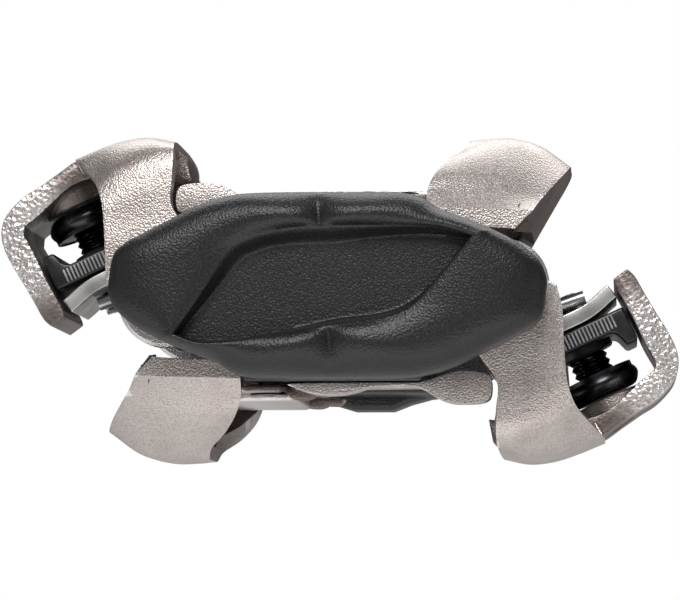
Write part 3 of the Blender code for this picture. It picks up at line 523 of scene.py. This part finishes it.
claw = {
    "wall": 2.1, "rim": 0.45, "inset": 1.3, "rowSteps": 7, "columnSteps": 7,
    "plateTop": 14.4, "plateLow": 12.4, "tongueTop": 13.5,
    "post": [(6.4, 12.5), (6.3, 13.8), (5.6, 14.2), (4.1, 14.3), (3.2, 14.1), (2.6, 13.8), (1.6, 13.9), (0.9, 13.7),
             (0.7, 12.5)],
    "rows": [
        (20.4, 20.2, [(12.8, 9.0), (15.6, 8.9), (18.4, 8.9), (21.2, 8.8), (24.7, 8.6), (24.3, 8.2)]),
        (20.4, 20.0, [(12.6, 11.6), (15.2, 11.5), (18.0, 11.4), (22.2, 11.3), (27.1, 11.1), (25.2, 8.3)]),
        (18.4, 17.0, [(12.7, 13.9), (15.8, 14.1), (19.4, 14.1), (23.6, 13.7), (28.0, 12.6), (25.8, 8.5)]),
        (16.4, 14.2, [(13.6, 16.4), (16.9, 16.8), (20.8, 16.8), (25.1, 16.1), (29.4, 14.5), (26.3, 8.7)]),
        (13.0, 11.4, [(15.4, 18.8), (18.6, 19.4), (22.3, 19.4), (26.5, 18.5), (30.8, 16.3), (26.6, 8.9)]),
        (9.0, 8.8, [(17.5, 20.6), (20.3, 21.4), (23.6, 21.5), (27.4, 20.6), (31.7, 17.6), (26.7, 9.1)]),
        (6.0, 6.0, [(18.1, 22.0), (20.8, 22.3), (24.2, 22.3), (28.0, 21.2), (32.1, 18.3), (26.7, 9.2)]),
        (0.0, 0.0, [(18.1, 22.1), (20.8, 22.3), (24.2, 22.3), (28.0, 21.3), (32.1, 18.3), (26.7, 9.2)])],
    # the outboard rail with its rounded tab, from the side
    "rail": [
        (5.6, 12.3), (5.3, 12.8), (3.8, 13.4), (1.8, 13.8), (-1.0, 13.8), (-3.0, 13.4), (-4.8, 12.85),
        (-6.8, 12.7), (-10.6, 12.7), (-12.4, 13.2), (-14.2, 14.3), (-16.3, 15.0), (-19.4, 15.0), (-20.9, 14.6),
        (-21.4, 13.7), (-21.4, 11.9), (-20.6, 11.0), (-17.0, 10.6), (-12.6, 11.9), (-10.6, 12.2), (-4.0, 12.2)],
}


def fullRows(rows, inset):  # mirrors the rows at the middle plane; the last point lies further in
    grid = []
    for first, last, points in rows:
        widths = np.linspace(first, last, len(points))
        widths[-1] = max(0, widths[-1] - inset)
        grid.append([(x, y, z) for (x, z), y in zip(points, widths)])
    near = [[(x, -y, z) for x, y, z in row] for row in grid]
    return np.array(near + grid[:-1][::-1])


def shell(name, look, sharpRows=(), sharpColumns=(), inset=0):
    columnSteps = look["columnSteps"]
    grid = through(fullRows(look["rows"], inset), look["rowSteps"], sharpRows)
    grid = through(grid.transpose(1, 0, 2), columnSteps, sharpColumns).transpose(1, 0, 2)
    mesh = gridMesh(name, grid)
    for finish in (castSteel, paintedShadeSteel):
        mesh.materials.append(finish)
    if sharpColumns:  # what turns inwards past the last sharp column gets the painted shade too
        for face in mesh.polygons:
            column = face.index % (grid.shape[1] - 1)
            face.material_index = int(column >= sharpColumns[-1] * columnSteps)
    obj = objectOf(name, mesh)
    step = obj.modifiers.new("wall", "SOLIDIFY")
    step.thickness = look["wall"] * mm
    step.offset = -1
    step.use_even_offset = False
    # the wall's inner faces take the next finish, the painted-shade steel
    step.material_offset = 1
    return obj


def makeClaw(side):
    look = claw
    last = 2 * len(look["rows"]) - 2
    obj = shell("claw", look, (1, last - 1), (4,), look["inset"])
    rounding(obj, look["rim"], 3, 58)
    parts = [(settled(obj), castSteel, paintedShadeSteel)]
    low, high = look["plateLow"], look["plateTop"]
    floor = [(5.5, -13.4), (5.9, -14.5), (26.5, -14.5), (26.5, 14.5), (5.9, 14.5), (5.5, 13.4)]
    parts.append((rounded(lying("floor", floor, low, high), 0.5, 3, 50), castSteel))
    # the tongues, posts and strip below carry painted shade in the darker cast steel
    for sign in (-1, 1):
        tongue = [(6.2, sign * 13.8), (13.4, sign * 13.8), (12.6, sign * 19.4), (7.4, sign * 19.4)]
        obj = objectOf("tongue", lying("tongue", tongue, low, look["tongueTop"]))
        rounding(obj, 0.4, 3, 50)
        sink = turned("sink", [(0.02, 11), (1.8, 11), (1.8, 12.9), (3.0, 14.0), (3.0, 15.5), (0.02, 15.5)], 48)
        sink = placed(sink, along((0, 0, 1), (screw["x"], screw["y"] * sign, 0)))
        parts.append((settled(obj, carve(obj, sink)), paintedShadeSteel))
        post = [tuple(p) for p in ringThrough(look["post"], 4)]
        ends = sorted((sign * 12.4, sign * 15.2))
        parts.append((rounded(prism("post", post, *ends), 0.4, 3, 50), paintedShadeSteel))
    rail = ringThrough(look["rail"], 4)
    parts.append((rounded(prism("rail", [tuple(p) for p in rail], -20.1, -14.9), 0.4, 3, 50), castSteel))
    strip = [(5.6, 12.3), (5.6, 13.0), (-12.0, 12.8), (-12.0, 12.3)]
    parts.append((rounded(prism("strip", strip, -15.5, -12.8), 0.2, 2), paintedShadeSteel))
    piece(f"{side}FrontClaw", parts, "pedal", [f"{side}_front_claw"], sides[side])


binding = {
    "wall": 2.6, "rim": 0.5, "rowSteps": 6, "columnSteps": 7, "strapHalfWidth": 10.5, "noseHalfWidth": 6.0,
    "pivot": (-23.0, -1.0), "eyeRadius": 6.3, "pinHole": 2.8, "keyHole": 2.4,
    "reach": 24, "barrelClearance": 12.1,
    "rows": [
        (20.2, 20.4, [(-30.2, -1.0), (-27.8, -2.0), (-24.8, -2.2), (-21.2, -2.0), (-18.0, -1.5)]),
        (20.0, 20.4, [(-31.0, 2.0), (-28.6, 2.4), (-25.0, 2.8), (-20.8, 3.0), (-17.0, 3.0)]),
        (20.0, 20.2, [(-31.2, 6.0), (-28.9, 6.7), (-25.9, 7.4), (-22.6, 7.8), (-19.4, 8.0)]),
        (19.7, 19.9, [(-31.4, 9.5), (-29.2, 10.2), (-26.9, 11.0), (-24.5, 11.6), (-22.1, 12.0)]),
        (19.3, 19.7, [(-31.8, 12.7), (-29.4, 13.9), (-27.0, 14.9), (-24.5, 15.4), (-22.1, 15.6)]),
        (17.6, 19.2, [(-33.0, 15.6), (-30.2, 17.3), (-27.4, 18.3), (-24.7, 18.6), (-22.0, 18.5)]),
        (13.0, 17.2, [(-35.4, 18.2), (-31.7, 20.0), (-28.4, 20.8), (-25.2, 21.0), (-22.1, 20.6)]),
        (9.9, 10.0, [(-36.6, 19.4), (-33.0, 20.9), (-29.6, 22.0), (-26.0, 22.4), (-22.4, 21.7)]),
        (0.0, 0.0, [(-36.6, 19.4), (-33.0, 20.9), (-29.6, 22.0), (-26.0, 22.4), (-22.4, 21.8)])],
    "strap": [
        (-35.4, 18.9), (-36.5, 19.1), (-38.8, 17.5), (-41.5, 15.6), (-43.7, 14.2), (-45.6, 12.3), (-46.5, 10.8),
        (-46.8, 9.1), (-46.5, 7.3), (-45.5, 5.1), (-43.8, 2.3), (-42.2, -0.4), (-40.9, -2.7), (-39.8, -3.8),
        (-37.9, -2.4), (-38.2, -1.4), (-39.7, 1.3), (-41.0, 3.8), (-42.1, 6.2), (-43.6, 8.8), (-43.5, 10.1),
        (-41.4, 11.8), (-38.5, 14.5), (-36.5, 16.0), (-34.2, 16.8)],
    "nose": [(-27.0, 20.5), (-23.3, 21.5), (-21.2, 19.8), (-20.6, 16.6), (-22.2, 16.9), (-24.6, 17.9)],
}


def aboutPivot(mesh):
    x, z = binding["pivot"]
    return placed(mesh, Matrix.Translation(Vector((x, 0, z)) * mm))


def onBolt(mesh):
    return placed(mesh, along(boltAxis, boltAnchor))


def strapMesh():
    look = binding
    half = look["strapHalfWidth"]
    outline = ringThrough(look["strap"], 5, (0, 13, 14, 19, 20, 24))
    return rounded(prism("strap", [tuple(p) for p in outline], -half, half), 0.45, 3, 40)


def makeBinding(side):
    look = binding
    obj = shell("binding", look)
    rounding(obj, look["rim"], 3, 40)
    reach = look["reach"]
    hole = aboutPivot(rod(look["pinHole"], -reach, reach, 48))
    helpers = [carve(obj, hole), carve(obj, rod(look["barrelClearance"], -reach, reach, 96))]
    parts = [(settled(obj, *helpers), castSteel, paintedShadeSteel)]
    strap = objectOf("strap", strapMesh())
    keyHole = look["keyHole"]
    parts.append((settled(strap, carve(strap, onBolt(rod(keyHole, -12, -3, 48)))), castEdge))
    # the nose and the spring seat carry painted shade in the darker cast steel
    nose = [tuple(p) for p in ringThrough(look["nose"], 4, (0, 1, 2, 3, 4, 5))]
    half = look["noseHalfWidth"]
    parts.append((rounded(prism("nose", nose, -half, half), 0.35, 3, 50), paintedShadeSteel))
    seat = [(keyHole, -5.6), (5.0, -5.6), (5.0, -3.5), (4.8, -3.3), (keyHole, -3.3), (keyHole, -5.6)]
    parts.append((onBolt(turned("seat", seat, 64)), paintedShadeSteel))
    for sign in (-1, 1):
        ends = sorted((sign * 20.4, sign * 16.8))
        ring = [(look["pinHole"], ends[0]), (look["eyeRadius"] - 0.5, ends[0]), (look["eyeRadius"], ends[0] + 0.5),
                (look["eyeRadius"], ends[1] - 0.5), (look["eyeRadius"] - 0.5, ends[1]),
                (look["pinHole"], ends[1]), (look["pinHole"], ends[0])]
        eye = objectOf("eye", aboutPivot(turned("eye", ring, 80)))
        helper = carve(eye, rod(look["barrelClearance"], -reach, reach, 96))
        parts.append((settled(eye, helper), castSteel))
    piece(f"{side}RearBinding", parts, f"{side}_binding", [f"{side}_rear_binding"], sides[side])


boltTilt = math.radians(25)
boltAxis = Vector((math.sin(boltTilt), 0, -math.cos(boltTilt)))  # from the head to the tip
boltCross = Vector((math.cos(boltTilt), 0, math.sin(boltTilt)))
boltAnchor = Vector((-35.5, 0, 10.6))
bolt = {"radius": 2.8, "length": 12.2, "headRadius": 5.6, "headHeight": 3.0, "pitch": 1.0, "threadDepth": 0.42,
        "socket": 3.0, "hole": 3.1}  # the hole is in the nut and in the spring plate
nut = {"distance": 4.3, "thickness": 2.6, "rear": 7.3, "front": 4.2, "halfWidth": 9.0, "foot": 1.7,
       "ribs": 15, "ribPitch": 0.54, "ribWidth": 0.3}
springPlate = {"thickness": 2.1, "halfWidth": 9.0, "middle": [
    (8.25, 4.2), (8.25, 1.5), (8.25, -1.0), (8.35, -2.6), (8.7, -4.2), (9.15, -5.6), (9.5, -6.9)]}


def alongBolt(points):  # (along, across) from the head's inner face, as (x, z)
    spots = [boltAnchor + boltAxis * a + boltCross * c for a, c in points]
    return [(spot.x, spot.z) for spot in spots]


def makeBolt(side):
    look = bolt
    top, wide = -look["headHeight"], look["headRadius"]
    profile = [(0.02, 0.3), (look["radius"] + 0.5, 0.3), (wide - 0.9, 0.0), (wide - 0.55, 0.08), (wide - 0.35, 0.3)]
    profile += [(wide - 0.35 + 0.4 * math.sin(math.pi * share), -0.3 + (top + 1.0) * share)
                for share in np.linspace(0, 1, 9)]
    profile += [(wide - 0.6, top + 0.35), (wide - 0.95, top + 0.1), (wide - 1.4, top), (0.02, top)]
    head = objectOf("head", turned("head", profile, 96))
    head = settled(head, carve(head, prism("socket", hexagon(look["socket"]), top - 1, top + 2)))
    shank = screwed("shank", look["radius"], 0.1, look["length"], look["pitch"], look["threadDepth"], 48)
    parts = [(onBolt(head), blackSteel), (onBolt(shank), blackSteel)]
    piece(f"{side}TensionBolt", parts, f"{side}_bolt", [f"{side}_adjusting_bolt"], sides[side], 28)


def makeNut(side):
    look = nut
    near, far = look["distance"], look["distance"] + look["thickness"]
    rear, half, hole = -look["rear"], look["halfWidth"], bolt["hole"]
    foot = rear + look["foot"]
    bar = [(near, look["front"]), (far, look["front"]), (far, rear), (near - 2.4, rear), (near - 2.4, foot),
           (near - 0.4, foot + 0.7), (near, foot + 1.6)]
    obj = objectOf("bar", prism("bar", alongBolt(bar), -half, half))
    rounding(obj, 0.4, 3, 30)
    parts = [(settled(obj, carve(obj, onBolt(rod(hole, near - 3, far + 2, 64)))), blackPlastic)]
    collar = [(hole, near - 1.1), (3.8, near - 1.1), (4.1, near - 0.8), (4.1, far - 1), (hole, far - 1),
              (hole, near - 1.1)]
    parts.append((onBolt(turned("collar", collar, 64)), blackPlastic))
    # each rib is painted lighter grey as a painted highlight on the black nut
    for end in (-1, 1):
        for i in range(look["ribs"]):
            low = rear + 1.9 + i * look["ribPitch"]
            high = low + look["ribWidth"]
            rib = [(near + 0.35, low), (far - 0.35, low), (far - 0.35, high), (near + 0.35, high)]
            ends = sorted((end * (half - 0.4), end * (half + 0.32)))
            parts.append((rounded(prism("rib", alongBolt(rib), *ends), 0.12, 2), ribHighlightPlastic))
    piece(f"{side}AdjustingNut", parts, f"{side}_nut", [f"{side}_adjusting_nut"], sides[side], 30)


def makeSpringPlate(side):
    look = springPlate
    line = through(look["middle"], 6)
    ahead = np.gradient(line, axis=0)
    ahead /= np.linalg.norm(ahead, axis=1)[:, None]
    out = np.stack([-ahead[:, 1], ahead[:, 0]], 1) * look["thickness"] / 2
    outline = [tuple(p) for p in np.concatenate([line + out, (line - out)[::-1]])]
    obj = objectOf("plate", prism("plate", alongBolt(outline), -look["halfWidth"], look["halfWidth"]))
    rounding(obj, 0.3, 3, 40)
    mesh = settled(obj, carve(obj, onBolt(rod(bolt["hole"], 5, 12, 64))))
    piece(f"{side}SpringPlate", [(mesh, brightSteel)], f"{side}_nut", [f"{side}_spring_plate"],
          sides[side], 40)


spring = {"wire": 0.95, "pin": 2.5, "clearance": 0.7, "start": 4.4, "pitch": 2.15, "turns": 3, "arm": 10.1,
          "armAngle": 109, "stepsPerTurn": 40}
screw = {"radius": 1.5, "head": 2.7, "length": 7.5, "x": 9, "y": 16.45, "top": 13.8, "socket": 2.0}


def springPath():
    look = spring
    coil = look["pin"] + look["clearance"] + look["wire"]
    start = math.radians(look["armAngle"])
    x, z = binding["pivot"]
    reach = math.hypot(x, z)
    clear = body["barrelRadius"] + 0.35 + look["wire"]
    end = math.atan2(-z, -x) + math.acos((coil + clear) / reach)
    turns = look["turns"] + (start - end) / (2 * math.pi)
    first = Vector((math.cos(start), math.sin(start))) * coil
    away = Vector((math.sin(start), -math.cos(start)))
    path = [(*(first - away * look["arm"] * share), look["start"]) for share in (1.0, 0.75, 0.5, 0.25, 0.08)]
    steps = round(turns * look["stepsPerTurn"])
    for i in range(steps + 1):
        angle = start - turns * 2 * math.pi * i / steps
        y = look["start"] + look["pitch"] * turns * i / steps
        path.append((coil * math.cos(angle), coil * math.sin(angle), y))
    last = Vector((math.cos(end), math.sin(end))) * coil
    leaving = Vector((math.sin(end), -math.cos(end)))
    tail = math.sqrt(reach ** 2 - (coil + clear) ** 2)
    path += [(*(last + leaving * tail * share), path[-1][2]) for share in (0.08, 0.3, 0.55, 0.8, 1.0)]
    return [(x, y, z) for x, z, y in path]


def makeSprings(side):
    for place, hand in (("outboard", -1), ("inboard", 1)):
        path = [(x, y * hand, z) for x, y, z in springPath()]
        mesh = aboutPivot(tube("spring", path, spring["wire"]))
        piece(f"{side}Spring{place.title()}", [(mesh, springSteel)], "pedal", [f"{side}_torsion_spring_{place}"],
              sides[side], 50)


def makeScrews(side):
    look = screw
    radius, head, end = look["radius"], look["head"], -look["length"]
    profile = [(0.02, end), (radius - 0.2, end), (radius, end + 0.3), (radius, radius - head), (head - 0.1, -0.12),
               (head - 0.15, 0), (0.02, 0)]
    for place, hand in (("outboard", -1), ("inboard", 1)):
        obj = objectOf("screw", turned("screw", profile, 64))
        mesh = settled(obj, carve(obj, prism("socket", hexagon(look["socket"]), -1.2, 1)))
        mesh = placed(mesh, along((0, 0, 1), (look["x"], look["y"] * hand, look["top"])))
        piece(f"{side}ClawScrew{place.title()}", [(mesh, blackSteel)], "pedal", [f"{side}_claw_screw_{place}"],
              sides[side])


for side in sides:
    makeClaw(side)
    makeBinding(side)
    makeBolt(side)
    makeNut(side)
    makeSpringPlate(side)
    makeSprings(side)
    makeScrews(side)
    print(side, "side made")


axle = {"shoulder": 55.0, "threadLength": 12.5, "threadRadius": 7.14, "threadDepth": 0.55, "pitch": 1.27,
        "socket": 8.0, "socketDepth": 8.0, "bushJournal": 3.5, "coneJournal": 4.0, "journal": 5.0, "neck": 6.0,
        "flange": 9.0}
lockBolt = {"hole": 6.3, "head": 10.4, "start": 23, "step": 31.3, "splinesFrom": 32.2, "end": 35.9,
            "splines": 10, "splineRadius": 1.2, "splineRise": 0.5}


def makeAxle():
    look = axle
    face = look["shoulder"]
    tip = face + look["threadLength"]
    thin, cone, journal, neck, flange = (look[key] for key in (
        "bushJournal", "coneJournal", "journal", "neck", "flange"))
    profile = [(0.02, -23.7), (thin - 0.2, -23.7), (thin, -23.4), (thin, -14.7), (cone, -14.4), (cone, -5.5),
               (6.2, -5.5), (6.2, -4.1), (journal, -3.5), (journal, 23.7), (neck, 24.7), (neck, face - 5.2),
               (neck + 0.3, face - 4.6), (flange - 0.3, face - 3.1), (flange, face - 2.8), (flange, face - 0.3),
               (flange - 0.2, face), (0.02, face)]
    parts = [(turned("shaft", profile, 128), spindleSteel)]
    thread = objectOf("thread", screwed("thread", look["threadRadius"], face - 0.4, tip, look["pitch"],
                                        look["threadDepth"], 96, 0.9))
    helper = carve(thread, prism("socket", hexagon(look["socket"]), tip - look["socketDepth"], face + 20))
    parts.append((settled(thread, helper), spindleSteel))
    piece("axle", parts, "spindle", ["axle"])


def makeLockBolt():
    look = lockBolt
    hole, head, start, step, end = (look[key] for key in ("hole", "head", "start", "step", "end"))
    turn = 2 * math.pi / look["splines"]

    def notch(angle, radius, y):
        arc = ((angle / turn + 0.5) % 1 - 0.5) * turn * head
        if radius < head - 1 or y < look["splinesFrom"] or abs(arc) >= look["splineRadius"]:
            return radius
        return min(radius, head + look["splineRise"] - math.sqrt(look["splineRadius"] ** 2 - arc ** 2))

    profile = [(hole, start), (8.3, start), (8.3, step), (head, step), (head, look["splinesFrom"] - 0.01),
               (head, look["splinesFrom"] + 0.01), (head, end - 0.6), (head - 0.2, end - 0.2), (head - 0.6, end),
               (hole, end), (hole, start)]
    mesh = turned("lockBolt", profile, 240, notch)
    piece("lockBolt", [(mesh, greyPlastic)], "pedal", ["lock_bolt"])
    ring = [(hole, 36.2), (8.2, 36.2), (8.6, 36.35), (8.8, 36.8), (8.6, 37.5), (8.0, 37.9), (7.2, 38.1), (hole, 38.2),
            (hole, 36.2)]
    piece("axleSeal", [(turned("axleSeal", ring, 128), rubber)], "pedal", ["axle_seal"])


makeAxle()
makeLockBolt()

keptNodes = {"cone_nut": bearingSteel, "lock_nut": bearingSteel, "ball_ring_inner": bearingSteel,
             "ball_ring_outer": bearingSteel, "bearing_sleeve": bearingSteel, "plain_bush": greyPlastic,
             "upper_pivot_pin": springSteel, "lower_pivot_pin": springSteel}
for name, material in keptNodes.items():
    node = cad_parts[name]
    node.data.materials.clear()
    node.data.materials.append(material)
print("axle and bearings made")


# brightness of each lamp's face, where 1 is paper white
studio = {"floorHeight": -0.32, "floorHalfWidth": 4000, "roomLow": 0.08, "roomHigh": 0.17, "lamps": [
    # name, place, size, brightness
    ("key", (-0.05, -0.52, 0.40), (0.26, 0.24), 10.0),
    ("front", (0.10, -0.80, 0.12), (0.50, 0.30), 0.12),
    ("low", (-0.02, -0.26, -0.18), (0.60, 0.12), 0.7),
    ("left", (-0.6, -0.25, 0.15), (0.15, 0.5), 0.6),
    ("right", (0.6, -0.25, 0.1), (0.15, 0.5), 0.6),
    ("back", (0.05, 0.35, 0.55), (0.8, 0.4), 2.1)]}
# angles in degrees, the distance and the width of what it sees there in metres, the sensor in millimetres
view = {"yaw": 3.75, "pitch": 4.0, "distance": 0.6, "target": (0, -0.061, 0), "width": 0.0944444, "sensor": 36}


def makeFloor():
    half = studio["floorHalfWidth"]
    mesh = meshOf("floor", [(-half, -half, 0), (half, -half, 0), (half, half, 0), (-half, half, 0)], [(0, 1, 2, 3)])
    floor = objectOf("floor", mesh)
    floor.location = (0, 0, studio["floorHeight"])
    finish = Finish("paleFloor", Roughness=0.9, Specular_IOR_Level=0.1, Emission_Color=(1, 1, 1, 1),
                    Emission_Strength=0.2)
    finish.feed("Base Color", finish.blend(finish.grains(60), (0.86, 0.86, 0.86, 1), (0.90, 0.90, 0.90, 1)))
    mesh.materials.append(finish.material)


def makeLight(name, place, size, brightness):
    data = bpy.data.lights.new(name, "AREA")
    data.shape = "RECTANGLE"
    data.size, data.size_y = size
    data.energy = brightness * 4 * size[0] * size[1]
    lamp = bpy.data.objects.new(name, data)
    lamp.location = place
    aim = Vector(seatMiddle) - Vector(place)
    lamp.rotation_euler = aim.to_track_quat("-Z", "Y").to_euler()
    bpy.context.scene.collection.objects.link(lamp)


def makeRoom():  # white seen behind the pedal, a softer grey for its reflections
    world = bpy.data.worlds.new("room")
    bpy.context.scene.world = world
    world.use_nodes = True
    room = Graph(world.node_tree)
    room.tree.nodes.clear()
    way = room.node("ShaderNodeTexCoord", out=0)
    height = room.node("ShaderNodeSeparateXYZ", {}, {0: way}, 2).above(-0.5, 0.9)
    lit = room.node("ShaderNodeBackground", {}, {
        "Color": room.blend(height, (1.0, 0.93, 0.88, 1), (0.97, 0.98, 1.0, 1)),
        "Strength": studio["roomLow"] + height * (studio["roomHigh"] - studio["roomLow"])})
    seen = room.node("ShaderNodeBackground", {}, {"Color": (1, 1, 1, 1)})
    straight = room.node("ShaderNodeLightPath", out=0)
    both = room.node("ShaderNodeMixShader", {}, {0: straight, 1: lit, 2: seen})
    room.node("ShaderNodeOutputWorld", {}, {0: both})


def makeCamera():
    yaw, pitch = math.radians(view["yaw"]), math.radians(view["pitch"])
    ahead = Vector((-math.sin(yaw) * math.cos(pitch), math.cos(yaw) * math.cos(pitch), math.sin(pitch)))
    data = bpy.data.cameras.new("camera")
    data.sensor_width = view["sensor"]
    data.lens = view["sensor"] * view["distance"] / view["width"]
    data.clip_start, data.clip_end = 0.01, 20
    camera = bpy.data.objects.new("camera", data)
    camera.location = Vector(view["target"]) - ahead * view["distance"]
    camera.rotation_euler = ahead.to_track_quat("-Z", "Y").to_euler()
    bpy.context.scene.collection.objects.link(camera)
    bpy.context.scene.camera = camera


makeFloor()
makeRoom()
for lamp in studio["lamps"]:
    makeLight(*lamp)
makeCamera()
bpy.context.scene.view_settings.view_transform = "Standard"
print("studio made")

bpy.context.view_layer.update()
